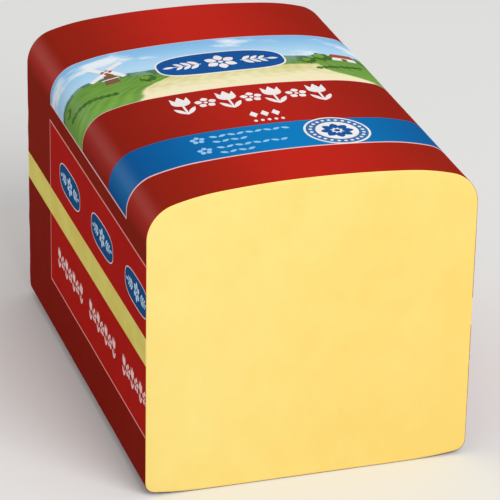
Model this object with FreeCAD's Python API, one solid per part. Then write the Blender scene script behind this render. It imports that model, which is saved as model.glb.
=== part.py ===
import FreeCAD, Part
import math
import os

# Half of an Edam loaf in its printed shrink film, in millimetres.
#
# The loaf lies on its base: X runs across it, Y along it and Z up. The origin is
# in the middle of the base. The loaf was cut in two at the -Y end, where the bare
# cheese shows. The +Y end is the closed end of the pack.

# ---- Loaf, measured over the film -------------------------------------------------

WIDTH = 105.0            # across the two flat sides
HEIGHT = 101.8           # from the base to the crown's highest line
LENGTH = 149.0           # from the cut face to the closed end

CROWN_WIDTH = 60.0       # middle stretch of the top, which is only slightly domed
CROWN_RADIUS = 330.0     # dome of that stretch
SHOULDER_RADIUS = 74.0   # softer bend on each side of it
TOP_CORNER = 11.5        # radius where the top rolls over into the sides

BASE_FLAT = 64.0         # middle stretch of the base, which the loaf stands on
BASE_ROLL = 130.0        # radius with which the base lifts on each side of it
BASE_CORNER = 3.6        # radius where the base turns up into the sides

END_EDGE = 2.8           # radius all round the closed end

# ---- Film -------------------------------------------------------------------------

FILM = 0.25              # thickness of the shrunk film
WINDOW_FROM_BASE = 45.3  # lower edge of the clear band above the base
WINDOW_WIDTH = 9.3       # height of the clear band that runs round the loaf

# ---- Cross-section ----------------------------------------------------------------
# The right half of the outline is a chain of arcs, each tangent to the next. An arc
# is a centre, a radius and the two angles that it runs between. All of them keep
# their centres when the outline is moved in by the thickness of the film.

QUARTER = math.pi / 2
CUT_Y = -LENGTH / 2

CROWN_Z = HEIGHT - CROWN_RADIUS
CROWN_ANGLE = math.acos(CROWN_WIDTH / 2 / CROWN_RADIUS)
SHOULDER_X = (CROWN_RADIUS - SHOULDER_RADIUS) * math.cos(CROWN_ANGLE)
SHOULDER_Z = CROWN_Z + (CROWN_RADIUS - SHOULDER_RADIUS) * math.sin(CROWN_ANGLE)
TOP_CORNER_X = WIDTH / 2 - TOP_CORNER
SHOULDER_ANGLE = math.acos((TOP_CORNER_X - SHOULDER_X) / (SHOULDER_RADIUS - TOP_CORNER))
TOP_CORNER_Z = SHOULDER_Z + (SHOULDER_RADIUS - TOP_CORNER) * math.sin(SHOULDER_ANGLE)
BASE_CORNER_X = WIDTH / 2 - BASE_CORNER
ROLL_ANGLE = math.asin((BASE_CORNER_X - BASE_FLAT / 2) / (BASE_ROLL - BASE_CORNER)) - QUARTER
BASE_CORNER_Z = BASE_ROLL + (BASE_ROLL - BASE_CORNER) * math.sin(ROLL_ANGLE)

BASE_ARCS = [
    (BASE_FLAT / 2, BASE_ROLL, BASE_ROLL, -QUARTER, ROLL_ANGLE),
    (BASE_CORNER_X, BASE_CORNER_Z, BASE_CORNER, ROLL_ANGLE, 0),
]
TOP_ARCS = [
    (TOP_CORNER_X, TOP_CORNER_Z, TOP_CORNER, 0, SHOULDER_ANGLE),
    (SHOULDER_X, SHOULDER_Z, SHOULDER_RADIUS, SHOULDER_ANGLE, CROWN_ANGLE),
]


def at_cut(x, z):
    """A point in the plane of the cut face."""
    return FreeCAD.Vector(x, CUT_Y, z)


def draw_arc(side, inset, centre_x, centre_z, radius, start, end):
    """One arc of the outline, on the right (side 1) or mirrored to the left (side -1)."""
    points = []
    for angle in (start, (start + end) / 2, end):
        x = centre_x + (radius - inset) * math.cos(angle)
        z = centre_z + (radius - inset) * math.sin(angle)
        points.append(at_cut(side * x, z))
    return Part.Arc(*points).toShape()


def section(inset):
    """The loaf's cross-section, with its whole outline moved in by inset."""
    edges = [Part.makeLine(at_cut(-BASE_FLAT / 2, inset), at_cut(BASE_FLAT / 2, inset))]
    edges.append(draw_arc(1, inset, 0, CROWN_Z, CROWN_RADIUS, CROWN_ANGLE, math.pi - CROWN_ANGLE))
    for side in (1, -1):
        side_x = side * (WIDTH / 2 - inset)
        edges.append(Part.makeLine(at_cut(side_x, BASE_CORNER_Z), at_cut(side_x, TOP_CORNER_Z)))
        for one_arc in BASE_ARCS + TOP_ARCS:
            edges.append(draw_arc(side, inset, *one_arc))
    return Part.Face(Part.Wire(Part.__sortEdges__(edges)))


def loaf(inset):
    """The loaf from its cut face to its closed end, with all but the cut face moved in."""
    length = LENGTH - inset
    block = section(inset).extrude(FreeCAD.Vector(0, length, 0))
    end_y = CUT_Y + length
    end_edges = [edge for edge in block.Edges if edge.BoundBox.YMin > end_y - FILM / 2]
    return block.makeFillet(END_EDGE - inset, end_edges)


def level(low_z, high_z):
    """A slab over the whole loaf between two heights, to cut the film with."""
    corner = FreeCAD.Vector(-WIDTH, CUT_Y - WIDTH, low_z)
    return Part.makeBox(2 * WIDTH, LENGTH + 2 * WIDTH, high_z - low_z, corner)


def save(shape, node):
    """Write one piece of the pack as its own file."""
    shape.exportStep(f"parts/{node}.step")


# The cheese fills the film. It has no holes and no rind.
cheese = loaf(FILM)

# The film is a skin round the cheese, open at the cut face. Its two printed webs,
# the upper one over the crown and the lower one under the base, meet the clear band
# edge to edge, on both sides and across the closed end.
film = loaf(0).cut(cheese)
window_top = WINDOW_FROM_BASE + WINDOW_WIDTH
film_lower = film.common(level(-HEIGHT, WINDOW_FROM_BASE)).Solids[0]
film_window = film.common(level(WINDOW_FROM_BASE, window_top)).Solids[0]
film_upper = film.common(level(window_top, 2 * HEIGHT)).Solids[0]

os.makedirs("parts", exist_ok=True)
save(cheese, "cheese")
save(film_lower, "film_lower")
save(film_window, "film_window")
save(film_upper, "film_upper")
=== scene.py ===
import bpy
import math
import numpy as np
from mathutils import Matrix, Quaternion, Vector, geometry, noise


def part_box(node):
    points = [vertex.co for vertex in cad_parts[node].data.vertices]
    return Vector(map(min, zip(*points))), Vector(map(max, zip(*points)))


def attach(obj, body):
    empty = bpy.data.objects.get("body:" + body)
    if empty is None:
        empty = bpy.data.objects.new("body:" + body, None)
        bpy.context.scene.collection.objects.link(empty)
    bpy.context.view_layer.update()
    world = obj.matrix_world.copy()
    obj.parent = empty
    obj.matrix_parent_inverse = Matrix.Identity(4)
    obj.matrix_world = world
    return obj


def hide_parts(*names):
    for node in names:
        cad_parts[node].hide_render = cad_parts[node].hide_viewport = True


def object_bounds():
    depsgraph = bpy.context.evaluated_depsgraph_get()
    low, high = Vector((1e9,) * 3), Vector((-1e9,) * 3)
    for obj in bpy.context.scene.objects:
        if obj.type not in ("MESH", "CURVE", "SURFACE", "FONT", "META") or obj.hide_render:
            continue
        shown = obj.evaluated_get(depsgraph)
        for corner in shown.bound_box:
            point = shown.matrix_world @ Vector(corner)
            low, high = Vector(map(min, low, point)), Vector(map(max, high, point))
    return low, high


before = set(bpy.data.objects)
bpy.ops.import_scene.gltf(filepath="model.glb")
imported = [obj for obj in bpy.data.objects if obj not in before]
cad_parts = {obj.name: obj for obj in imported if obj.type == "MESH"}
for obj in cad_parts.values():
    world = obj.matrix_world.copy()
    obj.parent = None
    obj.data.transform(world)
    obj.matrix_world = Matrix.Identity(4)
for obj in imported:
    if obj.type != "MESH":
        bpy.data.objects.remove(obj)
cad_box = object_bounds()

# ==== The cheese =====================================================================
# Half of a square Edam loaf: pale yellow, firm and even, with no holes and no rind. It
# was pressed in a mould with a domed lid and then cut across with a wire, which leaves
# a clean edge and very faint drag marks down the face.

LOW, HIGH = cad_box
CUT_Y, CLOSED_Y = LOW.y, HIGH.y

CROWN_WIDTH = 0.060
CROWN_RADIUS = 0.330
SHOULDER_RADIUS = 0.074
TOP_CORNER = 0.0115
BASE_FLAT = 0.064
BASE_ROLL = 0.130
BASE_CORNER = 0.0036
END_EDGE = 0.0028
FILM = 0.00006
CUT_EDGE = 0.0003
FILM_START = 0.00015
MARK_DEPTH = 0.00005
ARC_POINTS = 200

CHEESE_PALE = (0.975, 0.790, 0.255, 1)
CHEESE_DEEP = (0.965, 0.690, 0.175, 1)


def trace_outline():
    """The right half of the loaf's outline, from the middle of the crown to the middle
    of the base: each point's distance round, x, z and outward normal, and the
    distances at which its stretches end."""
    crown_z = HIGH.z - CROWN_RADIUS
    crown = math.acos(CROWN_WIDTH / 2 / CROWN_RADIUS)
    shoulder_x = (CROWN_RADIUS - SHOULDER_RADIUS) * math.cos(crown)
    shoulder_z = crown_z + (CROWN_RADIUS - SHOULDER_RADIUS) * math.sin(crown)
    corner_x = HIGH.x - TOP_CORNER
    shoulder = math.acos((corner_x - shoulder_x) / (SHOULDER_RADIUS - TOP_CORNER))
    corner_z = shoulder_z + (SHOULDER_RADIUS - TOP_CORNER) * math.sin(shoulder)
    base_x = HIGH.x - BASE_CORNER
    down = -math.pi / 2
    roll = math.asin((base_x - BASE_FLAT / 2) / (BASE_ROLL - BASE_CORNER)) + down
    base_z = BASE_ROLL + (BASE_ROLL - BASE_CORNER) * math.sin(roll)
    arcs = [
        (0, crown_z, CROWN_RADIUS, -down, crown),
        (shoulder_x, shoulder_z, SHOULDER_RADIUS, crown, shoulder),
        (corner_x, corner_z, TOP_CORNER, shoulder, 0),
        (base_x, base_z, BASE_CORNER, 0, roll),
        (BASE_FLAT / 2, BASE_ROLL, BASE_ROLL, roll, down),
    ]
    rows = []
    for centre_x, centre_z, radius, start, end in arcs:
        for angle in np.linspace(start, end, ARC_POINTS):
            out_x, out_z = math.cos(angle), math.sin(angle)
            rows.append((centre_x + radius * out_x, centre_z + radius * out_z, out_x, out_z))
    rows.append((0, 0, 0, -1))
    rows = np.array(rows)
    steps = np.hypot(*np.diff(rows[:, :2], axis=0).T)
    distance = np.concatenate([[0], np.cumsum(steps)])
    arc_ends = distance[ARC_POINTS - 1 : -1 : ARC_POINTS]
    side_end = distance[3 * ARC_POINTS]
    ends = [*arc_ends[:3], side_end, *arc_ends[3:], distance[-1]]
    return distance, rows, ends, corner_z


DISTANCE, TRACE, STRETCH_ENDS, CORNER_Z = trace_outline()
CROWN_END, SHOULDER_END, CORNER_END, SIDE_END, BASE_CORNER_END, ROLL_END, HALF_ROUND = STRETCH_ENDS


def at_height(z):
    """Distance round the loaf to this height on its flat side."""
    return CORNER_END + CORNER_Z - z


window_low, window_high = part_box("film_window")
WINDOW_TOP = at_height(window_high.z)
WINDOW_BASE = at_height(window_low.z)


CROWN_STEPS = 8
FLAT_STEPS = 8
STRETCHES = (
    (CROWN_END, CROWN_STEPS),
    (SHOULDER_END, 7),
    (CORNER_END, 14),
    (WINDOW_TOP, 24),
    (WINDOW_BASE, 8),
    (SIDE_END, 32),
    (BASE_CORNER_END, 5),
    (ROLL_END, 6),
    (HALF_ROUND, FLAT_STEPS),
)


def divide(stretches):
    """Distances that split each stretch, given by its end, into its count of equal steps."""
    start, parts = 0, []
    for end, count in stretches:
        parts.append(np.linspace(start, end, count + 1)[:-1])
        start = end
    return np.concatenate(parts + [[start]])


LINES = divide(STRETCHES)
LAST = len(LINES) - 1


def outline(s):
    """x, z and outward normal at signed distances s round the loaf; left is negative."""
    values = [np.interp(np.abs(s), DISTANCE, TRACE[:, i]) for i in range(4)]
    side = np.sign(s)
    return side * values[0], values[1], side * values[2], values[3]


SWELL_SIZE, SWELL_HEIGHT = 0.021, 0.00005
PUCKER_SIZE, PUCKER_HEIGHT = 0.0065, 0.00022
PUCKER_ACROSS, PUCKER_ALONG = 0.012, 0.022
PUCKER_SHIFT = Vector((7, 3, 5))
SETTLED = 0.00004


def relief(points):
    """How far the shrunk film stands out from the true form at these points: a slight
    swell everywhere, and puckers near the corners of the closed end."""
    flat = points.reshape(-1, 3)
    swell = [noise.noise(Vector(p) / SWELL_SIZE) for p in flat]
    pucker = [noise.noise(Vector(p) / PUCKER_SIZE + PUCKER_SHIFT) for p in flat]
    corner = np.clip((np.abs(flat[:, 0]) - HIGH.x + PUCKER_ACROSS) / PUCKER_ACROSS, 0, 1)
    corner = corner * np.clip((flat[:, 1] - CLOSED_Y + PUCKER_ALONG) / PUCKER_ALONG, 0, 1)
    height = SWELL_HEIGHT * np.array(swell) + PUCKER_HEIGHT * corner * np.array(pucker) - SETTLED
    return height.reshape(points.shape[:-1])


def surface(s, y, inset=0.0, tilt=0.0, lift=0.0):
    """Points of the loaf's skin at s round it and y along it. The outline is moved in by
    inset, and its normal is tilted from straight out towards +Y."""
    x, z, out_x, out_z = outline(np.asarray(s, float))
    y = y + 0 * x
    base = np.stack([x - out_x * inset, y, z - out_z * inset], axis=-1)
    normal = np.stack([out_x * np.cos(tilt), np.sin(tilt) + 0 * x, out_z * np.cos(tilt)], axis=-1)
    return base + normal * (lift + relief(base))[..., None]


class Net:
    """Points and faces of one piece, woven from rows of points that may be shared."""

    def __init__(self):
        self.points = []
        self.faces = []

    def add(self, points):
        start = len(self.points)
        self.points.extend(tuple(map(float, p)) for p in points)
        return list(range(start, len(self.points)))

    def weave(self, rows, closed=False):
        for low, high in zip(rows, rows[1:]):
            if closed:
                low, high = low + low[:1], high + high[:1]
            for a, b, c, d in zip(low, low[1:], high[1:], high):
                self.faces.append((a, b, c, d))


def wrap(net, numbers, stations, closed=False):
    """Weaves the skin over the outline lines with these signed numbers, through stations
    of (y, inset, tilt). Returns the first and last rows, by line number."""
    s = np.array([math.copysign(LINES[abs(n)], n) for n in numbers])
    rows = [net.add(surface(s, *station)) for station in stations]
    net.weave(rows, closed)
    edges = []
    for row in (rows[0], rows[-1]):
        edge = dict(zip(numbers, row))
        edge[-LAST] = edge.get(LAST)
        edges.append(edge)
    return edges


def fill_end(net, edge, first, last, y, inset, marks, facing):
    """Fills a flat end between two outline lines, with rows of points from side to side.
    marks gives each point's depth along Y."""
    rows = []
    for k in range(first, last + 1):
        if k <= CROWN_STEPS:
            if k == 0:
                rows.append([edge[n] for n in range(-CROWN_STEPS, CROWN_STEPS + 1)])
        elif k >= LAST - FLAT_STEPS:
            if k == LAST:
                down = [edge[-n] for n in range(LAST - FLAT_STEPS, LAST)]
                rows.append(down + [edge[n] for n in range(LAST, LAST - FLAT_STEPS - 1, -1)])
        else:
            x, z, out_x, out_z = outline(LINES[k])
            across = np.linspace(-1, 1, 2 * CROWN_STEPS + 1)[1:-1] * (x - out_x * inset)
            points = np.stack([across, 0 * across + y, 0 * across + z - out_z * inset], axis=-1)
            points[:, 1] += marks(points)
            rows.append([edge[-k]] + net.add(points) + [edge[k]])
    net.weave(rows if facing > 0 else rows[::-1])


class Wire:
    """One output in a material's nodes. Sums on it add Math nodes."""

    def __init__(self, tree, socket=None):
        self.tree = tree
        self.socket = socket

    def node(self, kind, settings, sockets, output=0):
        """Adds a node: its settings first, then the value or link of each socket."""
        made = self.tree.nodes.new("ShaderNode" + kind)
        for name, value in settings.items():
            setattr(made, name, value)
        for name, value in sockets.items():
            if isinstance(value, Wire):
                self.tree.links.new(value.socket, made.inputs[name])
            else:
                made.inputs[name].default_value = value
        return Wire(self.tree, made.outputs[output])

    def math(self, operation, *values):
        return self.node("Math", {"operation": operation}, dict(enumerate(values)))

    def __add__(self, other):
        return self.math("ADD", self, other)

    def __sub__(self, other):
        return self.math("SUBTRACT", self, other)

    def __rsub__(self, other):
        return self.math("SUBTRACT", other, self)

    def __mul__(self, other):
        return self.math("MULTIPLY", self, other)

    def __truediv__(self, other):
        return self.math("DIVIDE", self, other)

    __radd__ = __add__

    def clamp(self):
        return self.node("Clamp", {}, {"Value": self})

    def between(self, low, high):
        """0 below low, 1 above high and a smooth step between them."""
        settings = {"interpolation_type": "SMOOTHSTEP"}
        return self.node("MapRange", settings, {"Value": self, "From Min": low, "From Max": high})

    def mix(self, first, second):
        """A colour from first at 0 to second at 1."""
        return self.node("Mix", {"data_type": "RGBA"}, {0: self, 6: first, 7: second}, output=2)

    def axis(self, index):
        """One of the X, Y and Z of a vector."""
        return self.node("SeparateXYZ", {}, {0: self}, output=index)

    def stretched(self, x, y, z):
        """A vector with each of its axes scaled."""
        return self.node("VectorMath", {"operation": "MULTIPLY"}, {0: self, 1: (x, y, z)})

    def noise(self, scale, detail=2.0, roughness=0.5):
        values = {"Vector": self, "Scale": scale, "Detail": detail, "Roughness": roughness}
        return self.node("TexNoise", {}, values)

    def bump(self, distance):
        return self.node("Bump", {}, {"Height": self, "Distance": distance})


def new_material(name):
    """An empty material, and the place on the piece to work out its looks from."""
    material = bpy.data.materials.new(name)
    material.use_nodes = True
    tree = material.node_tree
    tree.nodes.clear()
    return material, Wire(tree).node("TexCoord", {}, {}, output=3)


def finish_material(shader):
    """Links a shader to its material's output."""
    output = shader.tree.nodes.new("ShaderNodeOutputMaterial")
    shader.tree.links.new(shader.socket, output.inputs["Surface"])


CREASE = math.radians(40)


def make_piece(name, points, faces, material):
    """A smooth mesh piece with crisp edges, which rides on the loaf."""
    mesh = bpy.data.meshes.new(name)
    mesh.from_pydata(points, [], faces)
    mesh.shade_smooth()
    mesh.set_sharp_from_angle(angle=CREASE)
    mesh.materials.append(material)
    piece = bpy.data.objects.new(name, mesh)
    bpy.context.scene.collection.objects.link(piece)
    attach(piece, "root")
    return piece


def cheese_finish():
    """Pale yellow, a little deeper towards the lower right, with soft mottling and faint
    drag marks where the wire ran down the face."""
    material, place = new_material("cheese")
    x, z = place.axis(0), place.axis(2)
    cloudy = place.noise(42.0, 3.0)
    mottle = place.stretched(1, 1, 0.7).noise(170.0, 4.0, 0.65)
    depth = 0.80 + x * 6.5 - z * 3.0 + (cloudy - 0.5) * 0.8 + (mottle - 0.5) * 0.7
    colour = depth.clamp().mix(CHEESE_PALE, CHEESE_DEEP)
    drag = place.stretched(1, 1, 0.05).noise(900.0, 3.0)
    grain = place.noise(1500.0, 4.0, 0.6)
    values = {
        "Base Color": colour,
        "Roughness": 0.48 + cloudy * 0.16,
        "Specular IOR Level": 0.25,
        "Normal": (drag * 0.6 + grain * 0.4).bump(0.00003),
    }
    finish_material(place.node("BsdfPrincipled", {}, values))
    return material


def wire_marks(points):
    """The slight unevenness of the cut face."""
    return np.array([MARK_DEPTH * noise.noise(Vector((p[0] * 60, 0, p[2] * 25))) for p in points])


ALONG_POINTS = 60
END_EDGE_POINTS = 7
CUT_EDGE_POINTS = 5


def skin_stations(inset):
    """Stations from just behind the cut, along the loaf and round its end edge, for a skin
    this far inside the film's outer face."""
    along = np.linspace(CUT_Y + FILM_START, CLOSED_Y - END_EDGE, ALONG_POINTS)[:-1]
    stations = [(y, inset, 0) for y in along]
    for angle in np.linspace(0, math.pi / 2, END_EDGE_POINTS):
        y = CLOSED_Y - END_EDGE + (END_EDGE - inset) * math.sin(angle)
        stations.append((y, inset + (END_EDGE - inset) * (1 - math.cos(angle)), angle))
    return stations


def cheese_stations():
    """The block's stations: round the cut edge, then those of the film over it, so that
    the film lies off the cheese by its own thickness everywhere."""
    stations = []
    for angle in np.linspace(-math.pi / 2, 0, CUT_EDGE_POINTS):
        y = CUT_Y + CUT_EDGE * (1 + math.sin(angle))
        stations.append((y, FILM + CUT_EDGE * (1 - math.cos(angle)), angle))
    return stations + skin_stations(FILM)[1:]


block = Net()
ring = list(range(LAST + 1)) + list(range(1 - LAST, 0))
cut_edge, back_edge = wrap(block, ring, cheese_stations(), closed=True)
fill_end(block, cut_edge, 0, LAST, CUT_Y, FILM + CUT_EDGE, wire_marks, facing=-1)
fill_end(block, back_edge, 0, LAST, CLOSED_Y - FILM, END_EDGE, relief, facing=1)
cheese = make_piece("cheese_block", block.points, block.faces, cheese_finish())
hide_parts("cheese")

# ==== The clear band =================================================================
# A strip of bare film where the two printed webs are welded, round both sides and the
# closed end. It clings to the cheese, so it takes the cheese's yellow, a little greener
# and with patches where the film lies less tightly.

SKIN = 0.00015
# Where round the crown's corners the coat is glossier and a sheen is painted into the inks' colour.
GLOSS_AND_SHEEN_ACROSS = (0.0465, 0.0515)
GLOSS_AND_SHEEN_HEIGHT = (0.0840, 0.0910)
BAND_PALE = (0.85, 0.760, 0.200, 1)
BAND_OLIVE = (0.82, 0.680, 0.155, 1)


def close_sheet(count, faces):
    """All the faces of a thin closed sheet: these faces over its first count points, the
    same turned over below them and a rim between."""
    sides = set()
    for face in faces:
        sides.update(zip(face, face[1:] + face[:1]))
    back = [tuple(count + i for i in reversed(face)) for face in faces]
    rim = [(b, a, count + a, count + b) for a, b in sides if (b, a) not in sides]
    return faces + back + sorted(rim)


def make_film(name, net, material, slot, *nodes):
    """A skin of film from its outer net, which stands for these nodes."""
    probe = bpy.data.meshes.new("probe")
    probe.from_pydata(net.points, [], net.faces)
    out = np.array([v.vector[:] for v in probe.vertex_normals])
    bpy.data.meshes.remove(probe)
    outer = np.array(net.points)
    points = [tuple(p) for p in np.concatenate([outer, outer - out * SKIN])]
    piece = make_piece(name, points, close_sheet(len(outer), net.faces), material)
    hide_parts(*nodes)


def corner_gloss_and_painted_sheen(place):
    """1 round the crown's corners, where the film is stretched smooth: its coat is glossier there, and
    the inks take a painted sheen there.
    """
    x = place.math("ABSOLUTE", place.axis(0))
    return x.between(*GLOSS_AND_SHEEN_ACROSS) * place.axis(2).between(*GLOSS_AND_SHEEN_HEIGHT)


def film_finish(name, colour):
    """Satin film printed on its inside, with the ink's colour as a function of the place."""
    material, place = new_material(name)
    wave = place.noise(55.0, 2.0)
    values = {
        "Base Color": colour(place),
        "Roughness": 0.55 + wave * 0.1,
        "Specular IOR Level": 0.0,
        "Coat Weight": 0.03 + wave * 0.03 + corner_gloss_and_painted_sheen(place) * 0.050,
        "Coat Roughness": 0.36,
        "Normal": place.noise(260.0, 2.0).bump(0.00002),
    }
    finish_material(place.node("BsdfPrincipled", {}, values))
    return material


def seen_cheese(place):
    """The cheese's yellow through bare film."""
    patches = place.stretched(1, 0.6, 1).noise(120.0, 3.0, 0.6)
    return patches.between(0.35, 0.65).mix(BAND_OLIVE, BAND_PALE)


top_line = int(np.argmin(abs(LINES - WINDOW_TOP)))
low_line = int(np.argmin(abs(LINES - WINDOW_BASE)))

band = Net()
right_side = list(range(top_line, low_line + 1))
left_side = [-n for n in reversed(right_side)]
back_edge = {}
for numbers in (right_side, left_side):
    back_edge.update(wrap(band, numbers, skin_stations(0))[1])
fill_end(band, back_edge, top_line, low_line, CLOSED_Y, END_EDGE, relief, facing=1)
clear_film = film_finish("clear_film_on_cheese", seen_cheese)
make_film("clear_band", band, clear_film, "clear_film", "film_window")

# ==== The printed film ===============================================================
# Two webs of red printed shrink film, one over the crown and one under the base, drawn
# tight by heat. The red is deep on the sides; a painted highlight lightens it along the
# crown, and a painted sheen round the crown's corners. Fine puckers stay at the corners
# of the closed end.

DEEP_RED = (0.260, 0.0130, 0.0042, 1)
# The brighter red below is the same ink with painted light on it, for the highlight along the crown.
RED_PAINTED_LIT = (0.515, 0.0165, 0.0085, 1)
SHADED_RED = (0.235, 0.0075, 0.0038, 1)
HIGHLIGHT_REACH = 0.029
HIGHLIGHT_LEAN = 1.24
HIGHLIGHT_HEIGHT = (0.045, 0.095)
INK_GRAIN = (150.0, 3.0, 0.6)
INK_SPECKLE = 0.08


def painted_highlight(place, reach):
    """A painted highlight: 1 along the middle of the crown, fading to the sides and down the
    closed end. It reaches a little further to the right, painting more light on that side."""
    x = place.axis(0)
    right = x.math("MAXIMUM", x, 0.0) * (1 / (reach * HIGHLIGHT_LEAN))
    left = x.math("MINIMUM", x, 0.0) * (1 / reach)
    away = right + left
    return place.math("EXPONENT", away * away * -1.0) * place.axis(2).between(*HIGHLIGHT_HEIGHT)


def painted_light_ink(deep, bright, painted_sheen_share, reach=HIGHLIGHT_REACH):
    """An ink that lies a little unevenly, with light painted into its colour: it brightens
    from one colour to another as a painted highlight along the crown, and by a share of
    that as a painted sheen round the crown's corners."""

    def colour(place):
        speckle = (place.noise(*INK_GRAIN) - 0.5) * INK_SPECKLE
        painted_light_share = painted_highlight(place, reach) + corner_gloss_and_painted_sheen(place) * painted_sheen_share + speckle
        return painted_light_share.clamp().mix(deep, bright)

    return colour


def plain_red(place):
    return place.noise(*INK_GRAIN).mix(DEEP_RED, SHADED_RED)


upper = Net()
over = list(range(-top_line, top_line + 1))
back_edge = wrap(upper, over, skin_stations(0))[1]
fill_end(upper, back_edge, 0, top_line, CLOSED_Y, END_EDGE, relief, facing=1)
# The crown's red takes a painted highlight along the crown and a painted sheen round its corners.
crown_red_with_painted_light = film_finish("crown_red_with_painted_light", painted_light_ink(DEEP_RED, RED_PAINTED_LIT, 0.45))
make_film("film_over_crown", upper, crown_red_with_painted_light, "printed_film", "film_upper")

lower = Net()
under = list(range(low_line, LAST + 1)) + list(range(1 - LAST, 1 - low_line))
back_edge = wrap(lower, under, skin_stations(0))[1]
fill_end(lower, back_edge, low_line, LAST, CLOSED_Y, END_EDGE, relief, facing=1)
base_red = film_finish("plain_red", plain_red)
make_film("film_under_base", lower, base_red, "printed_film", "film_lower")

# ==== The label ======================================================================
# Printed across the crown and down to its corners: a red field, a blue band in front of
# it and a fine pale line round both. Each ink is a thin layer that follows the film.

INK = 0.00004
INK_ROOT = 0.00002
SAME_POINT = 1e-7
NORMAL_STEP = 0.0004
LABEL_SIDE = 0.0614
LABEL_FRONT = 0.0221
BLUE_BACK = 0.0421
PICTURE_FRONT = 0.0737
PICTURE_BACK = 0.1150
FINE_LINE = 0.0006
HALF_LINE = FINE_LINE / 2
LABEL_OUTER = LABEL_SIDE + HALF_LINE
LABEL_INNER = LABEL_SIDE - HALF_LINE
BLUE_HIGHLIGHT_REACH = 0.034
# The red and the blue below each come as the ink's own colour and a lighter copy with painted light on
# it, for a painted highlight along the crown and a painted sheen round its corners.
LABEL_RED = (0.252, 0.0115, 0.0045, 1)
LABEL_RED_PAINTED_LIT = (0.455, 0.0165, 0.0085, 1)
BLUE_SIDE = (0.002, 0.070, 0.258, 1)
BLUE_PAINTED_LIT = (0.003, 0.197, 0.505, 1)

FOLDS = [s for i, s in enumerate(LINES) if s <= CORNER_END or i % 3 == 0]
FOLDS += [-s for s in FOLDS if s > 0]
FOLD_STEP = 0.005


def skin_normal(s, y):
    """The skin's outward normal at s round the loaf and y along it."""
    across = surface(s + NORMAL_STEP, y) - surface(s - NORMAL_STEP, y)
    along = surface(s, y + NORMAL_STEP) - surface(s, y - NORMAL_STEP)
    normal = np.cross(across, along)
    return normal / np.linalg.norm(normal, axis=1)[:, None]


def lay_print(name, shapes, inks, lift=INK):
    """Prints shapes on the film, one thin closed piece for each ink. A shape is an ink
    and an outline of distances (round the loaf, back from the cut). It covers the shapes
    before it, and all of them end at the film's cut edge."""
    corners, rims = [], []
    for _, shape in shapes:
        rims.append(list(range(len(corners), len(corners) + len(shape))))
        corners += [Vector(corner) for corner in shape]
    low = [min(c[i] for c in corners) for i in (0, 1)]
    high = [max(c[i] for c in corners) for i in (0, 1)]
    folds = [[(s, low[1]), (s, high[1])] for s in FOLDS if low[0] < s < high[0]]
    steps = [t for t in np.arange(FILM_START, high[1], FOLD_STEP) if t > low[1]]
    folds += [[(low[0], t), (high[0], t)] for t in steps]
    ends = [(len(corners) + 2 * i, len(corners) + 2 * i + 1) for i in range(len(folds))]
    corners += [Vector(end) for fold in folds for end in fold]
    net_points, _, net_faces, _, _, owners = geometry.delaunay_2d_cdt(corners, ends, rims, 0, SAME_POINT)
    s, t = np.array(net_points).T
    on_film = t > FILM_START - 10 * SAME_POINT
    kept = [(tuple(f), max(o)) for f, o in zip(net_faces, owners) if o and all(on_film[list(f)])]
    outer = surface(s, CUT_Y + t, lift=lift)
    inner = surface(s, CUT_Y + t, lift=-INK_ROOT)
    out = skin_normal(s, CUT_Y + t)
    for ink, material in inks.items():
        faces = [face for face, owner in kept if shapes[owner][0] == ink]
        used = sorted({i for face in faces for i in face})
        number = {old: new for new, old in enumerate(used)}
        faces = [tuple(number[i] for i in face) for face in faces]
        points = [tuple(p) for p in np.concatenate([outer[used], inner[used]])]
        sheet = close_sheet(len(used), faces)
        piece = make_piece(f"{name}_{ink}", points, sheet, material)
        normals = [out[used[i]] for face in faces for i in face]
        normals += [-out[used[i]] for face in faces for i in reversed(face)]
        normals += [(0, 0, 0)] * (len(piece.data.loops) - len(normals))
        piece.data.normals_split_custom_set([tuple(n) for n in normals])


def bar(s_low, s_high, t_low, t_high):
    """A rectangle between these distances."""
    return [(s_low, t_low), (s_high, t_low), (s_high, t_high), (s_low, t_high)]


def tone(red, green, blue):
    """An ink of one colour, which lies a little unevenly."""

    def colour(place):
        thin = (red * 0.96, green * 0.96, blue * 0.96, 1)
        full = (min(red * 1.04, 1), min(green * 1.04, 1), min(blue * 1.04, 1), 1)
        return place.noise(*INK_GRAIN).between(0.3, 0.7).mix(thin, full)

    return colour


label = [
    ("line", bar(-LABEL_OUTER, LABEL_OUTER, LABEL_FRONT - HALF_LINE, PICTURE_BACK)),
    ("red", bar(-LABEL_INNER, LABEL_INNER, BLUE_BACK, PICTURE_FRONT)),
    ("blue", bar(-LABEL_INNER, LABEL_INNER, LABEL_FRONT + HALF_LINE, BLUE_BACK)),
]
# The red and blue inks carry painted light: a highlight along the crown and a sheen round its corners.
label_inks = {
    "line": film_finish("line_ink", tone(0.87, 0.57, 0.60)),
    "red": film_finish("label_red_ink_with_painted_light", painted_light_ink(LABEL_RED, LABEL_RED_PAINTED_LIT, 0.42)),
    "blue": film_finish("blue_ink", painted_light_ink(BLUE_SIDE, BLUE_PAINTED_LIT, 0.35, BLUE_HIGHLIGHT_REACH)),
}
lay_print("label", label, label_inks)

# ==== The picture ====================================================================
# A landscape across the back of the label, printed in soft halftones: clouds, low hills,
# meadows with rows of crops and a pale field of grain. A windmill, a barn, trees and
# hedges are printed over it.

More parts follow.
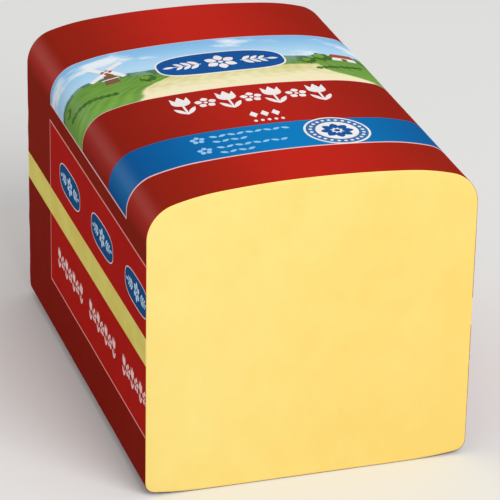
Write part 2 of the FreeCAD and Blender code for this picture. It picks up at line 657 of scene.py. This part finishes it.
HORIZON = 0.0968
MEADOW_BACK = 0.0905
HILLS = ((-0.046, 0.018, 0.0055), (0.044, 0.015, 0.0040))
FIELD_FRONT = 0.0890
FIELD_BACK = 0.0895
BUSH_PITCH = 0.0021
VANISHING = (0.004, 0.1130)
SKY_HIGH = (0.23, 0.50, 0.79, 1)
SKY_LOW = (0.45, 0.70, 0.90, 1)
CLOUD = (0.80, 0.87, 0.93, 1)
FAR_DARK = (0.085, 0.19, 0.10, 1)
FAR_LIGHT = (0.19, 0.33, 0.19, 1)
MEADOW_DARK = (0.105, 0.235, 0.038, 1)
MEADOW_LIGHT = (0.200, 0.405, 0.070, 1)
GRAIN_BACK = (0.66, 0.62, 0.24, 1)
GRAIN_FRONT = (0.91, 0.83, 0.54, 1)


def sky(place, t):
    """Blue that deepens upwards, with soft clouds."""
    air = t.between(HORIZON, PICTURE_BACK).mix(SKY_LOW, SKY_HIGH)
    large = place.stretched(0.45, 1, 0.45).noise(85.0, 4.0, 0.5)
    small = place.stretched(0.5, 1, 0.5).noise(210.0, 3.0, 0.6)
    return (large + small * 0.35).between(0.68, 0.86).mix(air, CLOUD)


def hump(x, middle, spread, height):
    """A rounded hill's height at x."""
    away = (x - middle) * (1 / spread)
    return x.math("EXPONENT", away * away * -1.0) * height


def landscape(place):
    """The ground under the printed shapes: sky over far woods, then meadows in rows that
    run to a vanishing point, and the field of grain between them."""
    x = place.axis(0)
    t = place.axis(1) - CUT_Y
    rough = place.noise(600.0, 2.0) - 0.5
    far_crest = x.math("SINE", x * 120.0 + 1.0) * 0.0010 + HORIZON
    far = (far_crest - t + rough * 0.0010).between(-0.0003, 0.0003)
    woods = place.stretched(1, 0.5, 1).noise(260.0, 3.0, 0.6).between(0.4, 0.6)
    scene = far.mix(sky(place, t), woods.mix(FAR_DARK, FAR_LIGHT))
    crest = hump(x, *HILLS[0]) + hump(x, *HILLS[1]) + (MEADOW_BACK + rough * 0.0012)
    depth = crest - t
    bend = t.math("SINE", t * 400.0) * 0.0022
    ray = (x - VANISHING[0] + bend) / (VANISHING[1] - t)
    rows = x.math("SINE", ray * 42.0) * 0.22 + 0.5
    tufts = place.stretched(0.6, 1.8, 0.6).noise(240.0, 3.0, 0.6) - 0.5
    grass = (rows + tufts + depth * 22.0 - 0.10).clamp().mix(MEADOW_DARK, MEADOW_LIGHT)
    scene = depth.between(-0.0002, 0.0003).mix(scene, grass)
    reach = x.math("ABSOLUTE", ray + rough * 0.05)
    straw = (rows * 0.45 + tufts * 1.6 + t.between(FIELD_FRONT, PICTURE_FRONT)).clamp()
    field = (reach * -1.0 + 1.02).between(-0.03, 0.03) * (FIELD_BACK - t).between(0.0, 0.0015)
    return field.mix(scene, straw.mix(GRAIN_BACK, GRAIN_FRONT))


def oval(s, t, across, along, points=28):
    """An oval by its middle and its two radii."""
    turns = np.linspace(0, 2 * math.pi, points, endpoint=False)
    return [(s + across * math.cos(a), t + along * math.sin(a)) for a in turns]


def placed(shape, s, t, turn=0.0, size=1.0):
    """A shape turned, scaled and moved."""
    cos, sin = math.cos(turn) * size, math.sin(turn) * size
    return [(s + x * cos - y * sin, t + x * sin + y * cos) for x, y in shape]


def leafy(size, lumps, phase):
    """The lumpy outline of a tree's crown about the origin."""
    shape = []
    for a in np.linspace(0, 2 * math.pi, 6 * lumps, endpoint=False):
        r = size * (1 + 0.10 * math.sin(lumps * a + phase) + 0.05 * math.sin(3 * a + 2 * phase))
        shape.append((r * math.cos(a), r * 0.92 * math.sin(a)))
    return shape


def tree(s, t, size, phase):
    """A round tree: its trunk, its crown and the lit side of the crown."""
    crown = t + size * 1.25
    shapes = [("bark", bar(s - size * 0.12, s + size * 0.12, t, crown))]
    shapes.append(("hedge", placed(leafy(size, 7, phase), s, crown)))
    lit = leafy(size * 0.55, 5, phase + 1)
    shapes.append(("leaf", placed(lit, s - size * 0.25, crown + size * 0.28)))
    return shapes


def windmill(s, t, size):
    """A windmill: its tapered tower, gallery, cap and four sails."""
    tower = [(-0.26, 0), (0.26, 0), (0.14, 0.95), (-0.14, 0.95)]
    shapes = [("bark", placed(tower, s, t, size=size))]
    shapes.append(("white", placed(bar(-0.30, 0.30, 0.36, 0.42), s, t, size=size)))
    shapes.append(("roof", placed(oval(0, 0.96, 0.20, 0.17, 16), s, t, size=size)))
    for quarter in range(4):
        angle = math.radians(32 + 90 * quarter)
        for part in (bar(0.0, 0.80, -0.025, 0.025), bar(0.16, 0.80, 0.025, 0.17)):
            shapes.append(("white", placed(part, s, t + size, angle, size)))
    return shapes


def barn(s, t, size):
    """A low barn: its wall, door and broad roof."""
    wall = bar(-0.5, 0.5, 0, 0.32)
    roof = [(-0.62, 0.30), (0.62, 0.30), (0.40, 0.66), (-0.40, 0.66)]
    door = bar(-0.10, 0.12, 0, 0.24)
    parts = (("white", wall), ("roof", roof), ("bark", door))
    return [(ink, placed(part, s, t, size=size)) for ink, part in parts]


def hedge(s, t, slope, bushes, size, phase):
    """Bushes in a row to the right of a place, each a little further back or nearer."""
    shapes = []
    for k in range(bushes):
        bush = leafy(size, 5, k + phase)
        shapes.append(("hedge", placed(bush, s + BUSH_PITCH * k, t + slope * k)))
    return shapes


WINDMILL = (-0.0375, 0.0915, 0.0098)
BARN = (0.0415, 0.0925, 0.0085)
TREES = (
    (-0.0560, 0.0900, 0.0019, 0.5),
    (-0.0265, 0.0865, 0.0027, 2.0),
    (0.0285, 0.0885, 0.0026, 3.1),
    (0.0340, 0.0905, 0.0034, 0.9),
    (0.0490, 0.0915, 0.0031, 4.4),
    (0.0545, 0.0890, 0.0024, 1.7),
)
HEDGES = (
    (-0.0560, 0.0870, -0.00042, 9, 0.00125, 0),
    (0.0300, 0.0850, 0.00030, 8, 0.00115, 2),
)

ground = bar(-LABEL_INNER, LABEL_INNER, PICTURE_FRONT + HALF_LINE, PICTURE_BACK - HALF_LINE)
picture = [("scene", ground)] + windmill(*WINDMILL) + barn(*BARN)
for one in TREES:
    picture += tree(*one)
for one in HEDGES:
    picture += hedge(*one)


def grassy(dark, light, scale):
    """Leaves that change between two greens in small clumps."""

    def colour(place):
        return place.stretched(1, 1.6, 1).noise(scale, 4.0, 0.65).between(0.32, 0.68).mix(dark, light)

    return colour


white_ink = film_finish("white_ink", tone(0.88, 0.83, 0.82))
picture_inks = {
    "scene": film_finish("landscape_inks", landscape),
    "hedge": film_finish("hedge_ink", grassy((0.035, 0.105, 0.018, 1), (0.085, 0.20, 0.03, 1), 500.0)),
    "leaf": film_finish("leaf_ink", grassy((0.14, 0.29, 0.04, 1), (0.24, 0.42, 0.07, 1), 500.0)),
    "bark": film_finish("bark_ink", tone(0.20, 0.105, 0.055)),
    "roof": film_finish("roof_ink", tone(0.36, 0.085, 0.045)),
    "white": white_ink,
}
lay_print("picture", picture, picture_inks, 2 * INK)

# ==== The plaque =====================================================================
# A blue plaque with a white edge laid over the middle of the picture. It carries a
# flower between two sprays of leaves.

PLAQUE = (-0.0007, 0.0948)
PLAQUE_SIZE = (0.0218, 0.0088)
PLAQUE_EDGE = 0.0006


def cushion(across, along, squareness=3.0, points=56):
    """An outline between an oval and a rectangle, about the origin."""
    shape = []
    for a in np.linspace(0, 2 * math.pi, points, endpoint=False):
        cos, sin = math.cos(a), math.sin(a)
        reach = (abs(cos) ** squareness + abs(sin) ** squareness) ** (-1 / squareness)
        shape.append((across * reach * cos, along * reach * sin))
    return shape


def leaf(length, width, points=7):
    """A pointed leaf along X from the origin."""
    share = np.linspace(0, 1, points)
    edge = [(length * u, -width / 2 * math.sin(math.pi * u) ** 0.8) for u in share[:-1]]
    return edge + [(x, -y) for x, y in [(length, 0)] + edge[:0:-1]]


def flower(petals, inner, outer, plumpness=0.72):
    """The petals of a round flower about the origin."""
    petal = placed(leaf(outer - inner, (outer - inner) * plumpness), inner, 0)
    turns = [math.pi / 2 + 2 * math.pi * k / petals for k in range(petals)]
    return [placed(petal, 0, 0, turn) for turn in turns]


def spray(length, leaf_length, pairs):
    """A spray along X from the origin: its stalk and pairs of leaves."""
    stalk = leaf_length * 0.045
    shapes = [bar(0, length, -stalk, stalk)]
    blade = leaf(leaf_length, leaf_length * 0.40)
    for k in range(pairs):
        start = length * (0.08 + 0.84 * k / pairs)
        size = 1 - 0.10 * k
        for side in (1, -1):
            shapes.append(placed(blade, start, side * stalk, side * math.radians(42), size))
    shapes.append(placed(blade, length * 0.92, 0, size=0.9))
    return shapes


def plaque_shapes(s, t, size, turn=0.0):
    """The plaque with its ornament, drawn about the origin and then placed."""
    across, along = PLAQUE_SIZE
    shapes = [("white", cushion(across, along))]
    shapes.append(("deep", cushion(across - PLAQUE_EDGE, along - PLAQUE_EDGE)))
    ornament = flower(6, 0.0013, 0.0056) + [oval(0, 0, 0.0009, 0.0009, 12)]
    for turned in (0, math.pi):
        for shape in spray(0.0098, 0.0044, 3):
            ornament.append(placed(placed(shape, 0.0066, 0), 0, 0, turned))
    shapes += [("motif", shape) for shape in ornament]
    return [(ink, placed(shape, s, t, turn, size)) for ink, shape in shapes]


deep_ink = film_finish("deep_blue_ink", tone(0.008, 0.088, 0.320))
plaque_inks = {"white": white_ink, "motif": white_ink, "deep": deep_ink}
lay_print("plaque", plaque_shapes(*PLAQUE, 1.0), plaque_inks, 3 * INK)

# ==== The ornament row ===============================================================
# White tulips and round flowers across the red field, with three lozenges and a row of
# dots below them.

ROW_ITEMS = 7
ROW_T = 0.0640
ROW_PITCH = 0.0075
TULIP_HEIGHT = 0.0135
BLOOM = 0.0037
LOZENGES_T = 0.0502
LOZENGE_PITCH = 0.0036
DOTS_T = 0.0452
DOT_PITCH = 0.0022


def tulip(height):
    """A tulip about the origin: its cup, stem and two leaves, pointing along Y."""
    cup = [(0.21, 0.47), (0.11, 0.30), (0, 0.52), (-0.11, 0.30), (-0.21, 0.47)]
    turns = np.linspace(math.pi, 2 * math.pi, 11)
    cup += [(0.23 * math.cos(a), 0.19 + 0.20 * math.sin(a)) for a in turns]
    shapes = [cup, bar(-0.028, 0.028, -0.5, 0.03)]
    for side in (1, -1):
        lean = math.pi / 2 - side * math.radians(33)
        shapes.append(placed(leaf(0.44, 0.13), side * 0.02, -0.49, lean))
    return [placed(shape, 0, 0, size=height) for shape in shapes]


def ornament_row(items, pitch, tulip_height, bloom):
    """Tulips and round flowers in turn along X, about the origin."""
    shapes = []
    for k in range(items):
        x = (k - (items - 1) / 2) * pitch
        if k % 2 == 0:
            motif = tulip(tulip_height)
        else:
            heart = oval(0, 0, bloom * 0.18, bloom * 0.18, 12)
            motif = flower(5, bloom * 0.30, bloom, 0.95) + [heart]
        shapes += [placed(shape, x, 0) for shape in motif]
    return shapes


ornaments = ornament_row(ROW_ITEMS, ROW_PITCH, TULIP_HEIGHT, BLOOM)
row = [("white", placed(shape, 0, ROW_T)) for shape in ornaments]
for k in (-1, 0, 1):
    row.append(("white", placed(oval(0, 0, 0.0014, 0.0024, 4), k * LOZENGE_PITCH, LOZENGES_T)))
for k in (-2, -1, 0, 1, 2):
    row.append(("white", oval(k * DOT_PITCH, DOTS_T, 0.0006, 0.0008, 10)))
lay_print("ornament_row", row, {"white": white_ink}, 2 * INK)

# ==== The blue band's marks ==========================================================
# Two small flowers with garlands of leaves beside them on the left of the blue band, and
# a round badge on the right, which stands a little over the band's edges.

FLOWERS = ((-0.0258, 0.0370), (-0.0258, 0.0288))
GARLANDS = ((0.0378, 9), (0.0340, 4), (0.0296, 8), (0.0258, 4))
GARLAND_START = -0.0206
LEAF_PITCH = 0.0029
BADGE = (0.0178, 0.0324)
BADGE_RADIUS = 0.0105
RING_OUTER = 0.0098
RING_INNER = 0.0068
BEADS = 24
BEAD_CIRCLE = 0.0083
BEAD = 0.0006
HEART = 0.0010

marks = []
for s, t in FLOWERS:
    petals = flower(5, inner=0.0006, outer=0.0025, plumpness=0.9)
    marks += [("pale", placed(petal, s, t)) for petal in petals]
for t, leaves in GARLANDS:
    for k in range(leaves):
        lean = math.radians(24 if k % 2 else -24)
        blade = placed(leaf(length=0.0028, width=0.0013), -0.0014, 0)
        marks.append(("pale", placed(blade, GARLAND_START + LEAF_PITCH * k, t, lean)))
pale_ink = film_finish("pale_blue_ink", tone(0.30, 0.58, 0.86))
lay_print("band_marks", marks, {"pale": pale_ink}, 2 * INK)

badge = [
    ("white", oval(*BADGE, BADGE_RADIUS, BADGE_RADIUS, 56)),
    ("ring", oval(*BADGE, RING_OUTER, RING_OUTER, 56)),
    ("white", oval(*BADGE, RING_INNER, RING_INNER, 44)),
]
for k in range(BEADS):
    angle = 2 * math.pi * k / BEADS
    s, t = BADGE[0] + BEAD_CIRCLE * math.cos(angle), BADGE[1] + BEAD_CIRCLE * math.sin(angle)
    badge.append(("white", oval(s, t, BEAD, BEAD, 8)))
petals = flower(8, inner=0.0014, outer=0.0054)
badge += [("deep", placed(petal, *BADGE)) for petal in petals]
badge.append(("deep", oval(*BADGE, HEART, HEART, 14)))
ring_ink = film_finish("ring_blue_ink", tone(0.040, 0.170, 0.410))
lay_print("badge", badge, {"white": white_ink, "ring": ring_ink, "deep": deep_ink}, 3 * INK)

# ==== The side panels ================================================================
# A brighter red panel down each side, from the cut to short of the closed end, split by
# the clear band. A fine line edges it. Small blue plaques stand in a row above the band
# and pale tulips and flowers below it.

PANEL_TOP = 0.0672
PANEL_BASE = 0.1254
PANEL_BACK = 0.1161
PANEL_LINE = 0.0006
MOTIFS = 3
MOTIF_PITCH = 0.0400
MOTIF_FIRST = 0.0103
PLAQUE_ROW = 0.0807
PLAQUE_SHARE = 0.60
TULIP_ROW = 0.1123
SIDE_PITCH = 0.0047
SIDE_TULIP_HEIGHT = 0.0073
SIDE_BLOOM = 0.0026

side_inks = {
    "line": film_finish("side_line_ink", tone(0.86, 0.32, 0.28)),
    "red": film_finish("panel_red_ink", tone(0.475, 0.0110, 0.0070)),
    "deep": film_finish("side_blue_ink", tone(0.008, 0.080, 0.240)),
    "white": film_finish("side_white_ink", tone(0.98, 0.72, 0.69)),
    "motif": film_finish("side_motif_ink", tone(0.56, 0.76, 0.95)),
}


def panel_shapes(top, base, line_top, line_base):
    """Half of the left panel, between two distances round the loaf, with its line."""
    inner_top = top + (PANEL_LINE if line_top else 0)
    inner_base = base - (PANEL_LINE if line_base else 0)
    return [
        ("line", bar(-base, -top, FILM_START, PANEL_BACK)),
        ("red", bar(-inner_base, -inner_top, FILM_START, PANEL_BACK - PANEL_LINE)),
    ]


def mirrored(shapes):
    """The same shapes on the other side of the loaf."""
    return [(ink, [(-s, t) for s, t in reversed(shape)]) for ink, shape in shapes]


over_band = panel_shapes(PANEL_TOP, WINDOW_TOP, True, False)
under_band = panel_shapes(WINDOW_BASE, PANEL_BASE, False, True)
for k in range(MOTIFS):
    t = MOTIF_FIRST + MOTIF_PITCH * k
    over_band += plaque_shapes(-PLAQUE_ROW, t, PLAQUE_SHARE, -math.pi / 2)
    for shape in ornament_row(ROW_ITEMS, SIDE_PITCH, SIDE_TULIP_HEIGHT, SIDE_BLOOM):
        under_band.append(("white", placed(shape, -TULIP_ROW, t, -math.pi / 2)))
under_inks = {ink: side_inks[ink] for ink in ("line", "red", "white")}
for side, upper_shapes, lower_shapes in (
    ("left", over_band, under_band),
    ("right", mirrored(over_band), mirrored(under_band)),
):
    lay_print(f"panel_{side}_upper", upper_shapes, side_inks)
    lay_print(f"panel_{side}_lower", lower_shapes, under_inks)

# ==== Floor, light and camera ========================================================
# A plain pale floor that keeps the loaf's shadow, a broad soft lamp in front and above,
# and a smaller lamp low behind the left side that draws the soft line along the corner.

FLOOR_REACH = 12.0
FLOOR_SEEN = (0.80, 0.80, 0.79, 1)
FLOOR_SHED = (0.42, 0.42, 0.42, 1)
SKY_SEEN = 0.85
SKY_SHED = 0.60


def looked_at(tree):
    """1 where a surface is seen directly, mirrored or through something clear."""
    direct, mirrored_ray, through = (tree.node("LightPath", {}, {}, output=k) for k in (0, 3, 6))
    return (direct + mirrored_ray + through).clamp()


def floor_finish():
    material, place = new_material("floor")
    shader = place.node("BsdfDiffuse", {}, {"Color": looked_at(place).mix(FLOOR_SHED, FLOOR_SEEN)})
    finish_material(shader)
    return material


floor_mesh = bpy.data.meshes.new("floor")
floor_corners = [(FLOOR_REACH * x, FLOOR_REACH * y, 0) for x, y in bar(-1, 1, -1, 1)]
floor_mesh.from_pydata(floor_corners, [], [(0, 1, 2, 3)])
floor_mesh.materials.append(floor_finish())
floor = bpy.data.objects.new("floor", floor_mesh)
bpy.context.scene.collection.objects.link(floor)

world = bpy.data.worlds.new("room")
world.use_nodes = True
world.node_tree.nodes.clear()
room = Wire(world.node_tree)
strength = looked_at(room) * (SKY_SEEN - SKY_SHED) + SKY_SHED
light = room.node("Background", {}, {"Color": (1, 1, 1, 1), "Strength": strength})
room_output = world.node_tree.nodes.new("ShaderNodeOutputWorld")
world.node_tree.links.new(light.socket, room_output.inputs["Surface"])
bpy.context.scene.world = world


def add_lamp(name, toward, distance, width, height, power):
    """A soft lamp in the direction toward from the middle of the loaf, facing it."""
    lamp_data = bpy.data.lights.new(name, "AREA")
    lamp_data.shape = "RECTANGLE"
    lamp_data.size = width
    lamp_data.size_y = height
    lamp_data.energy = power
    lamp = bpy.data.objects.new(name, lamp_data)
    middle = (LOW + HIGH) / 2
    toward = Vector(toward).normalized()
    lamp.location = middle + toward * distance
    lamp.rotation_mode = "QUATERNION"
    lamp.rotation_quaternion = toward.to_track_quat("Z", "Y")
    bpy.context.scene.collection.objects.link(lamp)


add_lamp("front_lamp", (0.20, -0.68, 0.50), distance=1.6, width=1.1, height=1.1, power=18.0)
add_lamp("corner_lamp", (-0.47, 0.86, 0.17), distance=1.5, width=0.8, height=0.48, power=5.4)

CAMERA_PLACE = (-0.27836, -0.86673, 0.47365)
CAMERA_AZIMUTH = math.radians(-18.046)
CAMERA_ELEVATION = math.radians(25.285)
CAMERA_ROLL = math.radians(1.174)

camera_data = bpy.data.cameras.new("camera")
camera_data.lens = 222.1
camera_data.sensor_width = 36.0
camera = bpy.data.objects.new("camera", camera_data)
level, rise = math.cos(CAMERA_ELEVATION), math.sin(CAMERA_ELEVATION)
back = Vector((math.sin(CAMERA_AZIMUTH) * level, -math.cos(CAMERA_AZIMUTH) * level, rise))
camera.location = CAMERA_PLACE
camera.rotation_mode = "QUATERNION"
camera.rotation_quaternion = back.to_track_quat("Z", "Y") @ Quaternion((0, 0, 1), CAMERA_ROLL)
bpy.context.scene.collection.objects.link(camera)
bpy.context.scene.camera = camera
bpy.context.scene.view_settings.view_transform = "Standard"
